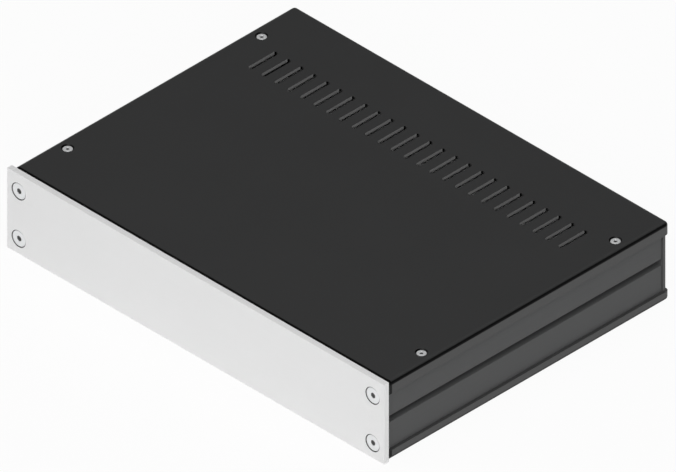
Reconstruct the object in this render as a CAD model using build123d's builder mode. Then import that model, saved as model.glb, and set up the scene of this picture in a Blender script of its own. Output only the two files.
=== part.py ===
from build123d import *
import os

# A slim equipment case: two extruded side profiles, two folded covers and two end plates.
# X runs across the case, Y from the front panel to the rear, Z up, in millimetres.
# The origin is under the middle of the case, on the underside of the bottom cover.

# Body behind the front panel, measured over the covers
body_width = 228.6
body_height = 41.2
cover_length = 171.3

# Front panel, which stops just above the underside
panel_thickness = 3.0
panel_side_overhang = 0.7
panel_top_overhang = 1.0
panel_lift = 0.2
panel_edge_break = 0.15
front_gap = 0.4

# Folded covers
sheet = 1.5
inner_bend = 0.5
top_flange_height = 6.4
bottom_flange_height = 4.9
flange_end_gap = 0.5
notch_clearance = 0.5

# Row of vent slots near the rear of the top cover
slot_pitch = 7.87
slot_length = 17.2
slot_width = 2.5
slot_side_margin = 19.0
slot_rear_inset = 38.9

# Extruded side profiles, whose faces lie behind the covers' flanges by the side step
side_step = 1.4
side_clearance = 0.1
shoulder_gap = 0.1
profile_wall = 2.0
profile_flange_width = 13.0
profile_edge_round = 0.15
groove_height = 3.4
groove_depth = 3.5
port_wall = 2.15
port_slit = 1.6
guide_gap = 1.8
guide_rib = 1.2
guide_depth = 2.8

# Rear panel, a little wider than the profiles and apart from their ends by a seam there
rear_panel_thickness = 2.0
rear_panel_clearance = 0.1
rear_panel_overhang = 0.5
rear_seam = 0.5

# Where the screws stand, measured in from the body's outer faces
screw_side_inset = 6.4
end_screw_drop = 8.1
cover_screw_inset = 26.5

# End screws, M4, and cover screws, M2.5, all with sunk conical heads and hexagon sockets
end_screw_radius = 2.0
end_head_radius = 4.0
end_head_recess = 0.2
end_screw_length = 12.0
end_socket = 2.5
cover_screw_radius = 1.25
cover_head_radius = 2.35
cover_head_recess = 0.45
cover_screw_length = 6.0
cover_socket = 1.5
head_rim = 0.1
socket_depth = 1.2
screw_tip_chamfer = 0.4
thread_clearance = 0.05
hole_clearance = 0.2

# Places along the case
total_length = panel_thickness + front_gap + cover_length
front_y = -total_length / 2
seat_y = front_y + panel_thickness
cover_front_y = seat_y + front_gap
cover_rear_y = cover_front_y + cover_length
rear_panel_back_y = cover_rear_y - sheet - rear_panel_clearance
rear_panel_front_y = rear_panel_back_y - rear_panel_thickness

# Places across and up the case
panel_half_width = body_width / 2 + panel_side_overhang
middle_z = body_height / 2
top_z = body_height
inner_half_width = body_width / 2 - sheet
inner_half_height = body_height / 2 - sheet
outer_bend = inner_bend + sheet
face_x = body_width / 2 - side_step
web_x = face_x - profile_wall
rebate_x = inner_half_width - side_clearance
flange_tip_x = face_x - profile_flange_width
face_bottom_z = bottom_flange_height + shoulder_gap
face_top_z = top_z - top_flange_height - shoulder_gap
screw_x = body_width / 2 - screw_side_inset
port_half_spacing = body_height / 2 - end_screw_drop
port_bore = end_screw_radius + thread_clearance
port_radius = port_bore + port_wall
slot_count = 1 + int((body_width - 2 * slot_side_margin) / slot_pitch)


def span(low_x, high_x, low_y, high_y, mode=Mode.ADD):
    """A rectangle between two corners of the sketch."""
    with Locations(((low_x + high_x) / 2, (low_y + high_y) / 2)):
        Rectangle(high_x - low_x, high_y - low_y, mode=mode)


def end_screw_planes(y, outward):
    """The four screw places of an end plate, named, on its outer face at y."""
    planes = {}
    for height, z in (("top", port_half_spacing), ("bottom", -port_half_spacing)):
        for side, x in (("left", -screw_x), ("right", screw_x)):
            origin = (x, y, middle_z + z)
            planes[f"{height}_{side}"] = Plane(origin=origin, x_dir=(1, 0, 0), z_dir=(0, outward, 0))
    return planes


def cover_screw_planes(outward):
    """The four screw places of a cover, named, on its outer face."""
    planes = {}
    front = cover_front_y + cover_screw_inset
    rear = cover_rear_y - cover_screw_inset
    for end, y in (("front", front), ("rear", rear)):
        for side, x in (("left", -screw_x), ("right", screw_x)):
            origin = (x, y, middle_z + outward * body_height / 2)
            planes[f"{end}_{side}"] = Plane(origin=origin, x_dir=(1, 0, 0), z_dir=(0, 0, outward))
    return planes


def sunk_holes(planes, screw_radius, head_radius, recess, clearance, depth):
    """Screw holes whose cones carry the heads, sunk from the given planes."""
    with Locations(*planes.values()):
        CounterSinkHole(
            radius=screw_radius + clearance,
            counter_sink_radius=head_radius + head_rim + recess,
            depth=depth,
            counter_sink_angle=90,
        )


def countersunk_screw(surface, radius, head_radius, recess, length, socket):
    """A screw with its head just under a surface and its shank along the inward normal."""
    head_top = -recess
    cone_top = head_top - head_rim
    cone_height = head_radius - radius
    top = (Align.CENTER, Align.CENTER, Align.MAX)
    with BuildPart(surface) as screw:
        with Locations((0, 0, head_top)):
            Cylinder(head_radius, head_rim, align=top)
            Cylinder(radius, length, align=top)
        with Locations((0, 0, cone_top)):
            Cone(radius, head_radius, cone_height, align=top)
        tip = screw.faces().sort_by(Axis(surface.origin, surface.z_dir))[0]
        chamfer(tip.edges(), screw_tip_chamfer)
        with BuildSketch(surface.offset(head_top)):
            RegularPolygon(socket / 2, 6, major_radius=False)
        extrude(amount=-socket_depth, mode=Mode.SUBTRACT)
    return screw


def profile_section():
    """The right-hand profile seen from the front, as a sketch about the case's mid height."""
    guide_low = groove_height / 2 + profile_wall
    guide_high = guide_low + guide_gap
    middle = Plane(origin=(0, rear_panel_front_y, middle_z), x_dir=(1, 0, 0), z_dir=(0, -1, 0))
    with BuildSketch(middle) as section:
        span(web_x, rebate_x, -inner_half_height, inner_half_height)
        span(web_x, face_x, face_bottom_z - middle_z, face_top_z - middle_z)
        span(face_x - groove_depth - profile_wall, face_x, -guide_low, guide_low)
        for side in (-1, 1):
            flange = sorted((side * inner_half_height, side * (inner_half_height - profile_wall)))
            span(flange_tip_x, rebate_x, *flange)
            boss = sorted((side * inner_half_height, side * port_half_spacing))
            span(screw_x - port_radius, screw_x + port_radius, *boss)
            with Locations((screw_x, side * port_half_spacing)):
                Circle(port_radius)
            rib = sorted((side * guide_high, side * (guide_high + guide_rib)))
            span(web_x - guide_depth, web_x, *rib)
        span(face_x - groove_depth, face_x, -groove_height / 2, groove_height / 2, Mode.SUBTRACT)
        for side in (-1, 1):
            port_z = side * port_half_spacing
            with Locations((screw_x, port_z)):
                Circle(port_bore, mode=Mode.SUBTRACT)
            span(flange_tip_x, screw_x, port_z - port_slit / 2, port_z + port_slit / 2, Mode.SUBTRACT)
        outermost = section.vertices().group_by(Axis.X)[-1]
        fillet(outermost, profile_edge_round)
        corners = section.vertices().group_by(Axis.Y)
        fillet(corners[0] + corners[-1], inner_bend + side_clearance)
    return section


def side_profile():
    """The right-hand profile, drilled from above and below for the cover screws."""
    with BuildPart() as profile:
        extrude(profile_section().sketch, amount=rear_panel_front_y - seat_y)
        for outward in (-1, 1):
            sunk_holes(
                cover_screw_planes(outward),
                cover_screw_radius,
                cover_head_radius,
                cover_head_recess,
                thread_clearance,
                end_screw_drop,
            )
        sunk_holes(
            end_screw_planes(rear_panel_back_y, 1),
            end_screw_radius,
            end_head_radius,
            end_head_recess,
            thread_clearance,
            end_screw_length,
        )
    return profile


def block(low, high):
    """A box between two corners."""
    with Locations(low):
        Box(*(end - start for start, end in zip(low, high)), align=(Align.MIN, Align.MIN, Align.MIN))


def front_flange_ends(rim_z):
    """Both ends of the front flange, which stops beside the profiles, down to the flanges' rim."""
    with BuildPart() as ends:
        block(
            (flange_tip_x - flange_end_gap, cover_front_y, rim_z),
            (inner_half_width, cover_front_y + sheet + inner_bend, top_z - sheet),
        )
        mirror(about=Plane.YZ)
    return ends


def screw_notches():
    """Round notches in the rear flange that leave the rear panel's screw heads free."""
    with BuildPart() as notches:
        with BuildSketch(Plane.XZ.offset(-cover_rear_y)):
            with Locations((screw_x, middle_z + port_half_spacing)):
                Circle(end_head_radius + notch_clearance)
        extrude(amount=sheet)
        mirror(about=Plane.YZ)
    return notches


def vent_slots():
    """One row of round-ended slots as deep as the sheet."""
    with BuildPart() as slots:
        with BuildSketch(Plane.XY.offset(top_z)):
            with Locations((0, cover_rear_y - slot_rear_inset)):
                with GridLocations(slot_pitch, slot_length, slot_count, 1):
                    SlotOverall(slot_length, slot_width, rotation=90)
        extrude(amount=-sheet)
    return slots


def folded_cover(flange_height, cuts):
    """A cover at the top, a shallow tray of folded sheet with round rear corners and its flanges down."""
    middle_y = (cover_front_y + cover_rear_y) / 2
    rim_z = top_z - flange_height
    with BuildPart() as cover:
        with BuildSketch(Plane.XY.offset(rim_z)):
            with Locations((0, middle_y)):
                Rectangle(body_width, cover_length)
        extrude(amount=flange_height)
        fillet(cover.edges().filter_by(Axis.Z).group_by(Axis.Y)[-1], outer_bend)
        fillet(cover.faces().sort_by(Axis.Z)[-1].edges(), outer_bend)
        with BuildSketch(Plane.XY.offset(rim_z)):
            with Locations((0, middle_y)):
                Rectangle(2 * inner_half_width, cover_length - 2 * sheet)
        extrude(amount=flange_height - sheet, mode=Mode.SUBTRACT)
        ceiling = cover.faces().filter_by(Axis.Z).group_by(Axis.Z)[-2]
        fillet(ceiling.edges(), inner_bend)
        add(front_flange_ends(rim_z).part, mode=Mode.SUBTRACT)
        for cut in cuts:
            add(cut.part, mode=Mode.SUBTRACT)
        sunk_holes(
            cover_screw_planes(1),
            cover_screw_radius,
            cover_head_radius,
            cover_head_recess,
            hole_clearance,
            sheet,
        )
    return cover


def front_panel():
    """The front plate, a little wider and taller than the body."""
    with BuildPart() as panel:
        with BuildSketch(Plane.XZ.offset(-seat_y)):
            span(-panel_half_width, panel_half_width, panel_lift, top_z + panel_top_overhang)
        extrude(amount=panel_thickness)
        chamfer(panel.edges(), panel_edge_break)
        sunk_holes(
            end_screw_planes(front_y, -1),
            end_screw_radius,
            end_head_radius,
            end_head_recess,
            hole_clearance,
            panel_thickness,
        )
    return panel


def rear_panel():
    """The rear plate, which reaches a little past the profiles' sides between the covers' flanges."""
    back = Plane.XZ.offset(-rear_panel_back_y)
    wide_x = face_x + rear_panel_overhang
    with BuildPart() as panel:
        with BuildSketch(back):
            with Locations((0, middle_z)):
                Rectangle(2 * rebate_x, 2 * (inner_half_height - inner_bend))
        extrude(amount=rear_panel_thickness)
        with BuildSketch(back):
            span(-wide_x, wide_x, face_bottom_z, face_top_z)
        extrude(amount=rear_panel_thickness - rear_seam)
        sunk_holes(
            end_screw_planes(rear_panel_back_y, 1),
            end_screw_radius,
            end_head_radius,
            end_head_recess,
            hole_clearance,
            rear_panel_thickness,
        )
    return panel


def mirrored(original, plane):
    """The mirror image of a finished piece."""
    with BuildPart() as image:
        mirror(original.part, about=plane)
    return image


pieces = {
    "front_panel": front_panel(),
    "rear_panel": rear_panel(),
    "right_side_profile": side_profile(),
    "top_cover": folded_cover(top_flange_height, [screw_notches(), vent_slots()]),
}
lower_cover = folded_cover(bottom_flange_height, [screw_notches()])
pieces["bottom_cover"] = mirrored(lower_cover, Plane.XY.offset(middle_z))
pieces["left_side_profile"] = mirrored(pieces["right_side_profile"], Plane.YZ)

end_screws = {
    "front_screw": end_screw_planes(front_y, -1),
    "rear_screw": end_screw_planes(rear_panel_back_y, 1),
}
for name, planes in end_screws.items():
    for place, surface in planes.items():
        pieces[f"{name}_{place}"] = countersunk_screw(
            surface, end_screw_radius, end_head_radius, end_head_recess, end_screw_length, end_socket
        )

cover_screws = {"top_cover_screw": cover_screw_planes(1), "bottom_cover_screw": cover_screw_planes(-1)}
for name, planes in cover_screws.items():
    for place, surface in planes.items():
        pieces[f"{name}_{place}"] = countersunk_screw(
            surface,
            cover_screw_radius,
            cover_head_radius,
            cover_head_recess,
            cover_screw_length,
            cover_socket,
        )

os.makedirs("parts", exist_ok=True)
for label, piece in pieces.items():
    piece.part.label = label
    export_step(piece.part, f"parts/{label}.step")
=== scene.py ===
import math

import bpy
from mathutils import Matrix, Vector


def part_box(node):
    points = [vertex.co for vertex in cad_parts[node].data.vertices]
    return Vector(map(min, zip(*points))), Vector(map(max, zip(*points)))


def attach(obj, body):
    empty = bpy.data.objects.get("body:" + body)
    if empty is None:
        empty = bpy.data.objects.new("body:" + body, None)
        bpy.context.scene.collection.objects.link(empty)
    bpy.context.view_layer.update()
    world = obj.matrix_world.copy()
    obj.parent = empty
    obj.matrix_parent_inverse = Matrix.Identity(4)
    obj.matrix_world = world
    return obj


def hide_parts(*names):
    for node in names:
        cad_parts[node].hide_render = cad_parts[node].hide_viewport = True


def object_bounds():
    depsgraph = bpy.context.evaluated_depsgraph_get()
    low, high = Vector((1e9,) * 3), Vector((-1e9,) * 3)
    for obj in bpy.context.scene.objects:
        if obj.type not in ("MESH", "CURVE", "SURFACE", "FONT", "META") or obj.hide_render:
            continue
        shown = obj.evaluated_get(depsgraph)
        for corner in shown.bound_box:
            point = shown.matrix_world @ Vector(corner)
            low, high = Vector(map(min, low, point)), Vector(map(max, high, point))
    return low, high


# A flat black instrument case with a silver front panel, seen from the front right and above.
# Everything is in metres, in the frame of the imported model.

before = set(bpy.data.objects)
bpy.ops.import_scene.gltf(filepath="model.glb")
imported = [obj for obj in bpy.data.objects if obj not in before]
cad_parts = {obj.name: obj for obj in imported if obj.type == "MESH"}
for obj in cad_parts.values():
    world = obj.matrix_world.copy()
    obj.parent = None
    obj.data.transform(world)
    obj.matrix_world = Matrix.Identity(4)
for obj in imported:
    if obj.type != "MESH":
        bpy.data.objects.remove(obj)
cad_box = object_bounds()
centre = (cad_box[0] + cad_box[1]) / 2

MM = 0.001

# The folded covers: thickness and outer bend of their sheet, and the width of the rim that has no holes
sheet = 1.5 * MM
outer_bend = 2 * MM
plain_rim = 3 * MM

# The two sizes of screw, M4 and M2.5: radius of the shank, radius of the countersink at the surface,
# length, size of the socket across flats, and pitch of the thread
end_screw = dict(shank=2.0 * MM, seat=4.0 * MM, length=12 * MM, socket=2.5 * MM, pitch=0.7 * MM)
cover_screw = dict(shank=1.25 * MM, seat=2.35 * MM, length=6 * MM, socket=1.5 * MM, pitch=0.45 * MM)

# Their heads: how much smaller a head is than its seat, its rounded edge, its rim and the rim's chamfer
head_shortfall = 0.1 * MM
head_round = 0.15 * MM
head_round_steps = 6
head_rim = 0.1 * MM
rim_chamfer = 0.03 * MM

# Their sockets: depth, pointed floor and lead-in, whose mouth is a share of the size across flats,
# and the narrow bands of faces that keep the edges crisp
socket_depth = 1.2 * MM
socket_point = 0.4 * MM
socket_lead = 0.15 * MM
socket_mouth = 0.61
lead_band = 0.02 * MM
mouth_band = 0.04 * MM

# Their shanks: the neck, the two rings of the tip and the tip's length as shares of the shank's radius,
# the plain stretch at either end of the thread, and where below the neck the thread starts
neck_share = 0.92
tip_rings = (0.80, 0.55)
tip_length = 0.45
plain_stretch = 0.1 * MM
thread_start = 0.15 * MM

# Their threads: depth as a share of the pitch, and how steep the flanks are and how flat the crests
thread_depth = 0.55
flank_slope = 1.2
crest_flat = 0.1

# Points round a screw, rings to a turn of its thread, and the least angle of a sharp edge in degrees
around = 60
thread_steps = 6
sharp_angle = 32

# Masks: how far past a face they reach, and how far a face points along an axis when it is square to it,
# a slot's long wall, a sheet's cut rim, a side of the front plate or near enough upright
slack = 0.1 * MM
square_on = 0.9
long_wall = 0.93
cut_rim = 0.99
plate_side = 0.5
upright = 0.3

# Painted light for the faces inside the case, which show only through the slots: a light grey in place
# of the shade inside the shut case
inside_painted_light = 0.62

# Warmth of the greys: below nought is a little blue
cool = -0.02
faintly_cool = -0.01

# The studio: distance of the lamps, size of the floor and its drop below the case
lamp_distance = 4.0
floor_size = 6.0
floor_drop = 0.02 * MM

# The camera: where it stands from the point that it aims at, and the width of its picture
camera_direction = (1.0, -1.0, 1.0)
camera_distance = 1.0
camera_aim = (1.09 * MM, -1.58 * MM, 21.2 * MM)
picture_width = 291.5 * MM


def feed(tree, socket, value):
    """Links a socket to another one, or sets its value."""
    if isinstance(value, bpy.types.NodeSocket):
        tree.links.new(value, socket)
    else:
        socket.default_value = value


def node(tree, kind, inputs=None, **settings):
    """Adds a shader node with its settings and inputs."""
    made = tree.nodes.new(kind)
    for key, value in settings.items():
        setattr(made, key, value)
    for key, value in (inputs or {}).items():
        feed(tree, made.inputs[key], value)
    return made


def reckon(tree, operation, *values):
    """The result of one arithmetic node."""
    return node(tree, "ShaderNodeMath", dict(enumerate(values)), operation=operation).outputs["Value"]


def below(tree, value, limit):
    """One where the value is below the limit and nought elsewhere."""
    return reckon(tree, "LESS_THAN", value, limit)


def above(tree, value, limit):
    """One where the value is above the limit and nought elsewhere."""
    return reckon(tree, "GREATER_THAN", value, limit)


def off(tree, value, origin=0.0):
    """How far a value is from another one, either way."""
    return reckon(tree, "ABSOLUTE", reckon(tree, "SUBTRACT", value, origin))


def reach(tree, across, up):
    """The distance that two steps at right angles make."""
    squares = [reckon(tree, "POWER", step, 2) for step in (across, up)]
    return reckon(tree, "SQRT", reckon(tree, "ADD", *squares))


def both(tree, *masks):
    """One where every mask is one."""
    result = masks[0]
    for mask in masks[1:]:
        result = reckon(tree, "MULTIPLY", result, mask)
    return result


def between(tree, amount, low, high, start=0.3, end=0.7):
    """Maps a value from start..end, by default the usual range of noise, on to low..high."""
    made = node(
        tree,
        "ShaderNodeMapRange",
        {"Value": amount, "From Min": start, "From Max": end, "To Min": low, "To Max": high},
    )
    return made.outputs["Result"]


def fade(tree, amount, start, end):
    """Nought where a value is at start or before it, one where it is at end or past it."""
    return between(tree, amount, low=0.0, high=1.0, start=start, end=end)


def part_of(tree, vector, axis):
    """The X, Y or Z of a vector."""
    return node(tree, "ShaderNodeSeparateXYZ", {"Vector": vector}).outputs[axis]


def place(tree):
    """The point's place on the object, in metres."""
    return node(tree, "ShaderNodeTexCoord").outputs["Object"]


def at(tree, axis):
    """The X, Y or Z of the point's place."""
    return part_of(tree, place(tree), axis)


def turned(tree, axis):
    """How far the surface is turned to the positive side of an axis, from minus one to one."""
    return part_of(tree, node(tree, "ShaderNodeNewGeometry").outputs["True Normal"], axis)


def faces(tree, axis):
    """How far the surface faces along an axis, either way."""
    return off(tree, turned(tree, axis))


def new_material(name):
    """An empty material with its node tree and its principled shader."""
    material = bpy.data.materials.new(name)
    material.use_nodes = True
    tree = material.node_tree
    return material, tree, tree.nodes["Principled BSDF"]


def grain(tree, size, detail=2.0, roughness=0.5):
    """Noise in object space whose lumps measure size, a length or one length for each axis."""
    sizes = size if isinstance(size, tuple) else (size, size, size)
    scale = tuple(1 / length for length in sizes)
    mapped = node(tree, "ShaderNodeMapping", {"Vector": place(tree), "Scale": scale})
    made = node(
        tree,
        "ShaderNodeTexNoise",
        {"Vector": mapped.outputs["Vector"], "Scale": 1.0, "Detail": detail, "Roughness": roughness},
    )
    return made.outputs["Fac"]


def shade(value, warmth=0.0):
    """A grey of that brightness, a little blue where warmth is below nought."""
    return (value * (1 + warmth), value, value * (1 - warmth), 1.0)


def blend_colour(tree, amount, low, high):
    """Mixes two colours, or the outputs of other nodes, by an amount."""
    made = node(tree, "ShaderNodeMix", {"Factor": amount}, data_type="RGBA")
    first, second = [socket for socket in made.inputs if socket.type == "RGBA"]
    feed(tree, first, low)
    feed(tree, second, high)
    return [socket for socket in made.outputs if socket.type == "RGBA"][0]


def mottle(tree, amount, low, high, warmth=0.0):
    """A grey that wanders from one brightness to another."""
    return blend_colour(tree, amount, shade(low, warmth), shade(high, warmth))


def overlay(tree, mask, colour, tone, warmth=0.0):
    """The colour, with a grey of that brightness instead where the mask is one."""
    return blend_colour(tree, mask, colour, shade(tone, warmth))


def bump(tree, height, depth, under=None):
    """A bump of the given depth, laid over another one."""
    inputs = {"Height": height, "Distance": depth, "Strength": 1.0}
    if under is not None:
        inputs["Normal"] = under
    return node(tree, "ShaderNodeBump", inputs).outputs["Normal"]


def hole_walls(tree):
    """One on the walls of every slot and hole through the top cover's sheet and nought elsewhere."""
    low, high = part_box("top_cover")
    middle = (low + high) / 2
    return both(
        tree,
        below(tree, off(tree, at(tree, "X")), high.x - plain_rim),
        below(tree, off(tree, at(tree, "Y"), middle.y), high.y - middle.y - plain_rim),
        above(tree, at(tree, "Z"), high.z - sheet - slack),
        below(tree, faces(tree, "Z"), square_on),
    )


def cover_insides(tree):
    """One on the covers' level faces that look into the empty case and nought elsewhere."""
    low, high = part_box("bottom_cover")
    return both(
        tree,
        above(tree, at(tree, "Z"), low.z + sheet - slack),
        below(tree, at(tree, "Z"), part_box("top_cover")[1].z - sheet + slack),
        below(tree, off(tree, at(tree, "X")), high.x - plain_rim),
        above(tree, faces(tree, "Z"), square_on),
    )


def flange_rims(tree):
    """One on the cut rims of the side flanges, which face up or down and get painted light, and nought
    elsewhere.
    """
    low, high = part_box("bottom_cover")
    on_flange = above(tree, off(tree, at(tree, "X")), high.x - sheet - slack)
    return both(tree, on_flange, above(tree, faces(tree, "Z"), cut_rim))


def folds(tree):
    """One on the lower half of the folds and on all of the front fold, where the coat gets painted
    shade, and nought on the flat sheet.
    """
    low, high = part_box("top_cover")
    under_top = fade(tree, faces(tree, "Z"), start=0.80, end=0.64)
    over_flange = fade(tree, faces(tree, "Z"), start=0.03, end=0.10)
    in_front = below(tree, at(tree, "Y"), low.y + outer_bend + slack)
    off_level = fade(tree, faces(tree, "Z"), start=0.9995, end=0.997)
    lower_half = both(tree, under_top, over_flange)
    front_fold = both(tree, in_front, off_level)
    return reckon(tree, "MAXIMUM", lower_half, front_fold)


def powder_coat():
    """Fine textured black coat, with painted shade darkening the bends and some of the holes' end walls,
    and painted light lifting the slots' walls, the flanges' cut rims and the case's insides.
    """
    material, tree, shader = new_material("powder_coat")
    peel = grain(tree, size=0.9 * MM, detail=1.0)
    speckle = grain(tree, size=0.22 * MM)
    patches = grain(tree, size=40 * MM)

    walls = hole_walls(tree)
    # Painted light: the slots' long walls that face sideways, which lie in the slot's shade
    painted_lit_walls = both(tree, walls, above(tree, faces(tree, "X"), long_wall))
    ends = reckon(tree, "SUBTRACT", walls, painted_lit_walls)
    # Painted shade: the holes' end walls turned to the right
    right_ends = both(tree, ends, fade(tree, turned(tree, "X"), start=0.0, end=0.6))
    dark = reckon(tree, "MAXIMUM", folds(tree), right_ends)
    other_ends = reckon(tree, "MAXIMUM", reckon(tree, "SUBTRACT", ends, dark), 0.0)
    # Painted light on the holes' upright walls that are neither long walls nor darkened ends
    painted_lit_ends = both(tree, other_ends, below(tree, faces(tree, "Z"), upright))

    coat = mottle(tree, patches, low=0.015, high=0.019, warmth=cool)
    # Painted shade: the folds and the holes' right-turned ends get a near-black coat, so they show as
    # dark lines
    coat = overlay(tree, dark, coat, tone=0.010)
    # Painted light: the flanges' cut rims, shaded by the parts beside them, are lifted to a dark grey
    coat = overlay(tree, flange_rims(tree), coat, tone=0.05)
    # Painted light: those upright hole walls are lifted to a dark grey
    coat = overlay(tree, painted_lit_ends, coat, tone=0.07)
    # Painted light on the covers' inner faces, which would lie in the shade of the shut case
    coat = overlay(tree, cover_insides(tree), coat, tone=inside_painted_light)
    # Painted light on the slots' long walls: a mid grey where they would be in shade
    feed(tree, shader.inputs["Base Color"], overlay(tree, painted_lit_walls, coat, tone=0.235))
    # Painted shade and reflection: the same places turn metallic, so they mirror only their near-black
    # coat and stay dark
    feed(tree, shader.inputs["Metallic"], dark)
    feed(tree, shader.inputs["Roughness"], between(tree, speckle, low=0.40, high=0.50))
    shader.inputs["Specular IOR Level"].default_value = 0.7
    soft = bump(tree, peel, depth=0.012 * MM)
    feed(tree, shader.inputs["Normal"], bump(tree, speckle, depth=0.006 * MM, under=soft))
    return material


def off_middle(tree, low, high):
    """How far a point is above or below the middle of a box."""
    return off(tree, at(tree, "Z"), (low.z + high.z) / 2)


def groove_sides(tree):
    """One on the level faces of the profiles' outer grooves and nought elsewhere."""
    zone_depth = 5 * MM
    zone_half_height = 3 * MM
    low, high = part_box("right_side_profile")
    return both(
        tree,
        above(tree, off(tree, at(tree, "X")), high.x - zone_depth),
        below(tree, off_middle(tree, low, high), zone_half_height),
        above(tree, faces(tree, "Z"), square_on),
    )


def profile_insides(tree):
    """One on the profiles' faces that look into the empty case and nought elsewhere."""
    outer_skin = 1 * MM
    cover_skin = 0.5 * MM
    groove_half_height = 2.5 * MM
    low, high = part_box("right_side_profile")
    height = off_middle(tree, low, high)
    return both(
        tree,
        below(tree, off(tree, at(tree, "X")), high.x - outer_skin),
        above(tree, height, groove_half_height),
        below(tree, height, (high.z - low.z) / 2 - cover_skin),
    )


def black_extrusion():
    """Black anodised profile with the faint lines of the die along its length."""
    material, tree, shader = new_material("black_extrusion")
    lines = grain(tree, size=(0.3 * MM, 160 * MM, 0.3 * MM), detail=3.0, roughness=0.6)
    blast = grain(tree, size=0.12 * MM)

    outer = mottle(tree, lines, low=0.080, high=0.098, warmth=faintly_cool)
    # Painted light: the level faces inside the grooves, which lie in the groove's shade, are a little
    # lighter
    outer = overlay(tree, groove_sides(tree), outer, tone=0.10, warmth=faintly_cool)
    # Painted light on the profiles' inner faces, which would lie in the shade of the shut case
    colour = overlay(tree, profile_insides(tree), outer, tone=inside_painted_light)
    feed(tree, shader.inputs["Base Color"], colour)
    feed(tree, shader.inputs["Roughness"], between(tree, lines, low=0.38, high=0.48))
    shader.inputs["Specular IOR Level"].default_value = 0.15
    drawn = bump(tree, lines, depth=0.005 * MM)
    feed(tree, shader.inputs["Normal"], bump(tree, blast, depth=0.002 * MM, under=drawn))
    return material


def plate_inside(tree):
    """One on the rear plate's face that looks into the empty case and nought elsewhere."""
    covered_end = 6 * MM
    low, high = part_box("rear_panel")
    return both(
        tree,
        below(tree, off(tree, at(tree, "X")), high.x - covered_end),
        below(tree, at(tree, "Y"), low.y + slack),
        above(tree, faces(tree, "Y"), square_on),
    )


def black_plate():
    """Black anodised plate, blasted to an even satin."""
    material, tree, shader = new_material("black_plate")
    blast = grain(tree, size=0.2 * MM, detail=3.0)

    plate = mottle(tree, blast, low=0.084, high=0.104, warmth=faintly_cool)
    # Painted light on the rear plate's inner face, which would lie in the shade of the shut case
    feed(tree, shader.inputs["Base Color"], overlay(tree, plate_inside(tree), plate, tone=inside_painted_light))
    feed(tree, shader.inputs["Roughness"], between(tree, blast, low=0.40, high=0.50))
    shader.inputs["Specular IOR Level"].default_value = 0.15
    feed(tree, shader.inputs["Normal"], bump(tree, blast, depth=0.004 * MM))
    return material


def middle_of(name):
    """The middle of a node's box."""
    low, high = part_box(name)
    return (low + high) / 2


def seats(tree):
    """One within the front plate's four countersinks and nought elsewhere."""
    margin = 1 * MM
    upper = middle_of("front_screw_top_right")
    lower = middle_of("front_screw_bottom_right")
    half_way = (upper.z + lower.z) / 2
    across = reckon(tree, "SUBTRACT", off(tree, at(tree, "X")), upper.x)
    up = reckon(tree, "SUBTRACT", off(tree, at(tree, "Z"), half_way), upper.z - half_way)
    near = below(tree, reach(tree, across, up), end_screw["seat"] + margin)
    return both(tree, near, below(tree, faces(tree, "Y"), square_on))


def brushed_silver():
    """Clear anodised front plate, brushed along its length."""
    material, tree, shader = new_material("brushed_silver")
    strokes = grain(tree, size=(30 * MM, 30 * MM, 0.14 * MM), detail=4.0, roughness=0.65)
    bands = grain(tree, size=(120 * MM, 120 * MM, 3 * MM))

    face = mottle(tree, strokes, low=0.93, high=0.98)
    side = mottle(tree, strokes, low=0.86, high=0.91)
    # Painted shade: the plate's end faces take a darker copy of the face's grey
    metal = blend_colour(tree, above(tree, faces(tree, "X"), plate_side), face, side)
    # Painted shade: the four countersinks, a shadowed gap round the screw heads, are near black
    feed(tree, shader.inputs["Base Color"], overlay(tree, seats(tree), metal, tone=0.06))
    shader.inputs["Metallic"].default_value = 0.2
    feed(tree, shader.inputs["Roughness"], between(tree, bands, low=0.44, high=0.52))
    feed(tree, shader.inputs["Normal"], bump(tree, strokes, depth=0.004 * MM))
    return material


def socket_walls(tree):
    """One inside a modelled screw's socket, below its lead-in, and nought elsewhere."""
    zone_radius = 1.5 * MM
    fade_depth = 0.2 * MM
    near = below(tree, reach(tree, at(tree, "X"), at(tree, "Y")), zone_radius)
    deep = fade(tree, at(tree, "Z"), start=-socket_lead, end=-socket_lead - fade_depth)
    return both(tree, near, deep)


def plated_steel():
    """Bright plated screws with fine turning marks round their own axis, and painted shade darkening
    their sockets.
    """
    material, tree, shader = new_material("plated_steel")
    marks = grain(tree, size=0.12 * MM, detail=3.0)
    rings = node(
        tree,
        "ShaderNodeTexWave",
        {"Vector": place(tree), "Scale": 1 / (1.2 * MM), "Distortion": 0.6, "Detail": 2.0},
        wave_type="RINGS",
        rings_direction="Z",
    ).outputs["Fac"]

    plating = mottle(tree, marks, low=0.84, high=0.94, warmth=faintly_cool)
    # Painted shade: the sockets' walls below the lead-in are dark grey
    feed(tree, shader.inputs["Base Color"], overlay(tree, socket_walls(tree), plating, tone=0.22))
    shader.inputs["Metallic"].default_value = 0.5
    feed(tree, shader.inputs["Roughness"], between(tree, marks, low=0.30, high=0.42))
    turning = bump(tree, rings, depth=0.003 * MM)
    feed(tree, shader.inputs["Normal"], bump(tree, marks, depth=0.002 * MM, under=turning))
    return material


def dress(names, material):
    """Gives carried-over nodes their material."""
    for name in names:
        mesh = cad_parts[name].data
        mesh.materials.clear()
        mesh.materials.append(material)


def ring(radius, height):
    """Points round the screw's axis, with one radius or one worked out from the share of the turn."""
    points = []
    for step in range(around):
        angle = 2 * math.pi * step / around
        away = radius(step / around) if callable(radius) else radius
        points.append((away * math.cos(angle), away * math.sin(angle), height))
    return points


def hexagon(flats):
    """The radius of a hexagon with that size across flats."""
    half_side = math.pi / 6

    def radius(turn):
        angle = (2 * math.pi * turn + half_side) % (2 * half_side) - half_side
        return flats / 2 / math.cos(angle)

    return radius


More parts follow.
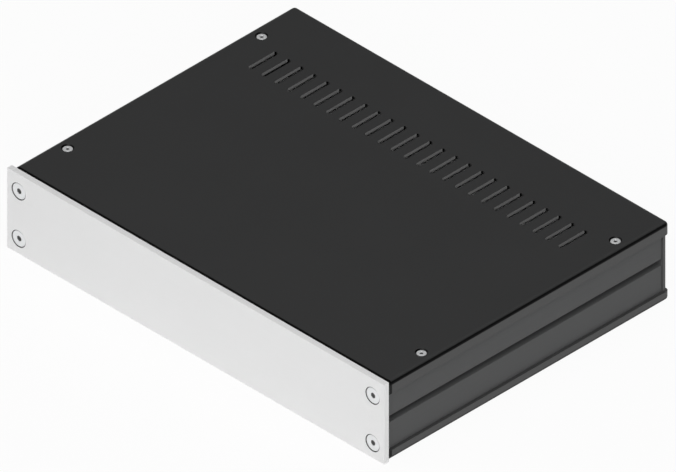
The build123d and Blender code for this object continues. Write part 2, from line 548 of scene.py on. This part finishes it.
def thread(shank, pitch, height):
    """The radius of a threaded shank at one height."""

    def radius(turn):
        phase = (height / pitch - turn) % 1.0
        flank = 1 - abs(2 * phase - 1)
        return shank - thread_depth * pitch * min(1.0, max(0.0, flank_slope * flank - crest_flat))

    return radius


def screw_rings(shank, seat, length, socket, pitch):
    """A countersunk screw's rings, from its socket's floor round to its tip, with its top at nought."""
    mouth = socket_mouth * socket
    rings = [
        ring(hexagon(socket), -socket_depth),
        ring(hexagon(socket), -socket_lead - lead_band),
        ring(hexagon(socket), -socket_lead),
        ring(mouth, 0),
        ring(mouth + mouth_band, 0),
    ]

    head = seat - head_shortfall
    for step in range(head_round_steps + 1):
        turn = math.pi / 2 * step / head_round_steps
        rings.append(ring(head - head_round * (1 - math.sin(turn)), -head_round * (1 - math.cos(turn))))
    rim = head_rim + head_shortfall
    rings += [ring(head, -rim), ring(head - rim_chamfer, -rim - rim_chamfer)]

    core = neck_share * shank
    neck = rim + head - core
    rings += [ring(core, -neck), ring(core, -neck - plain_stretch)]
    tip = -length + tip_length * shank
    level = -neck - thread_start
    while level > tip:
        rings.append(ring(thread(shank, pitch, level), level))
        level -= pitch / thread_steps
    upper_tip, lower_tip = tip_rings
    rings += [ring(upper_tip * shank, tip - plain_stretch), ring(lower_tip * shank, -length)]
    return rings


def screw_mesh(name, size, material):
    """The mesh of one size of screw, shared by its copies."""
    rings = screw_rings(**size)
    points = [point for loop in rings for point in loop]
    points += [(0, 0, -socket_depth - socket_point), (0, 0, -size["length"])]
    socket_floor, tip = len(points) - 2, len(points) - 1
    last = (len(rings) - 1) * around
    quads, ends = [], []
    for step in range(around):
        following = (step + 1) % around
        for first in range(0, last, around):
            a, b = first + step, first + following
            quads.append((a + around, b + around, b, a))
        ends += [(socket_floor, step, following), (tip, last + following, last + step)]
    mesh = bpy.data.meshes.new(name)
    mesh.from_pydata(points, [], quads + ends)
    mesh.update()
    mesh.shade_smooth()
    mesh.set_sharp_from_angle(angle=math.radians(sharp_angle))
    mesh.materials.append(material)
    return mesh


def fit_screw(node_name, mesh, outward):
    """Puts a modelled screw where its plain node is, with its head turned outward."""
    low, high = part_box(node_name)
    axis = Vector(outward)
    top = middle_of(node_name)
    for k in range(3):
        if axis[k]:
            top[k] = high[k] if axis[k] > 0 else low[k]
    piece = bpy.data.objects.new(f"{node_name}_modelled", mesh)
    piece.matrix_world = axis.to_track_quat("Z", "Y").to_matrix().to_4x4()
    piece.location = top
    bpy.context.collection.objects.link(piece)
    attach(piece, "root")
    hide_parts(node_name)


def fit_screws():
    """Every screw of the case: the end screws in one size and the cover screws in another."""
    steel = plated_steel()
    end_mesh = screw_mesh("end_screw", end_screw, steel)
    cover_mesh = screw_mesh("cover_screw", cover_screw, steel)
    kinds = {
        "front_screw": (end_mesh, (0, -1, 0)),
        "rear_screw": (end_mesh, (0, 1, 0)),
        "top_cover_screw": (cover_mesh, (0, 0, 1)),
        "bottom_cover_screw": (cover_mesh, (0, 0, -1)),
    }
    for kind, (mesh, outward) in kinds.items():
        for name in sorted(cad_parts):
            if name.startswith(kind):
                fit_screw(name, mesh, outward)


def softbox(name, direction, size, level):
    """A square lamp whose light alone would show a white face turned to it at that level."""
    lamp = bpy.data.lights.new(name, "AREA")
    lamp.shape = "SQUARE"
    lamp.size = size
    lamp.energy = level * math.pi**2 * lamp_distance**2
    placed = bpy.data.objects.new(name, lamp)
    towards = Vector(direction).normalized()
    placed.location = centre + towards * lamp_distance
    placed.rotation_euler = towards.to_track_quat("Z", "Y").to_euler()
    bpy.context.collection.objects.link(placed)


def floor_surface(tree, white):
    """Matte to the case's light, near white to the camera, metal and glass, and clear from below."""
    path = node(tree, "ShaderNodeLightPath")
    seen = reckon(tree, "MAXIMUM", path.outputs["Is Camera Ray"], path.outputs["Is Glossy Ray"])
    seen = reckon(tree, "MAXIMUM", seen, path.outputs["Is Transmission Ray"])
    amount = reckon(tree, "MULTIPLY", seen, white)
    matte = node(tree, "ShaderNodeBsdfDiffuse", {"Color": shade(0.82)}).outputs["BSDF"]
    glow = node(tree, "ShaderNodeEmission", {"Color": shade(1.0), "Strength": 1.0}).outputs["Emission"]
    mixed = node(tree, "ShaderNodeMixShader", {0: amount, 1: matte, 2: glow})
    underneath = node(tree, "ShaderNodeNewGeometry").outputs["Backfacing"]
    clear = node(tree, "ShaderNodeBsdfTransparent").outputs["BSDF"]
    one_sided = node(tree, "ShaderNodeMixShader", {0: underneath, 1: mixed.outputs["Shader"], 2: clear})
    return one_sided.outputs["Shader"]


def studio_floor(white):
    """A plain pale floor just below the case, which keeps its soft shadow."""
    level = cad_box[0].z - floor_drop
    bpy.ops.mesh.primitive_plane_add(size=floor_size, location=(centre.x, centre.y, level))
    floor = bpy.context.object
    floor.name = "studio_floor"
    material, tree, shader = new_material("floor_white")
    tree.nodes.remove(shader)
    feed(tree, tree.nodes["Material Output"].inputs["Surface"], floor_surface(tree, white))
    floor.data.materials.append(material)


def soft_world(level):
    """A dim even surround with a thin white band along the horizon."""
    world = bpy.data.worlds.new("soft_world")
    world.use_nodes = True
    bpy.context.scene.world = world
    tree = world.node_tree
    height = off(tree, part_of(tree, node(tree, "ShaderNodeTexCoord").outputs["Generated"], "Z"))
    background = tree.nodes["Background"]
    background.inputs["Color"].default_value = shade(1.0)
    strength = between(tree, height, low=1.0, high=level, start=0.02, end=0.10)
    feed(tree, background.inputs["Strength"], strength)


def isometric_camera():
    """The photograph's view: straight isometric, with no perspective."""
    camera = bpy.data.cameras.new("camera")
    camera.type = "ORTHO"
    camera.ortho_scale = picture_width
    placed = bpy.data.objects.new("camera", camera)
    back = Vector(camera_direction).normalized()
    placed.location = Vector(camera_aim) + back * camera_distance
    placed.rotation_euler = back.to_track_quat("Z", "Y").to_euler()
    bpy.context.collection.objects.link(placed)
    bpy.context.scene.camera = placed


dress(["front_panel"], brushed_silver())
dress(["left_side_profile", "right_side_profile"], black_extrusion())
dress(["top_cover", "bottom_cover"], powder_coat())
dress(["rear_panel"], black_plate())
fit_screws()

studio_floor(white=0.94)
soft_world(level=0.10)
softbox("key", direction=(1.0, -1.0, 1.1), size=3.2, level=0.66)
softbox("overhead", direction=(0.0, 0.0, 1.0), size=3.2, level=0.32)
softbox("back_left", direction=(-1.0, 1.0, 1.0), size=3.6, level=0.03)
isometric_camera()
bpy.context.scene.view_settings.view_transform = "Standard"
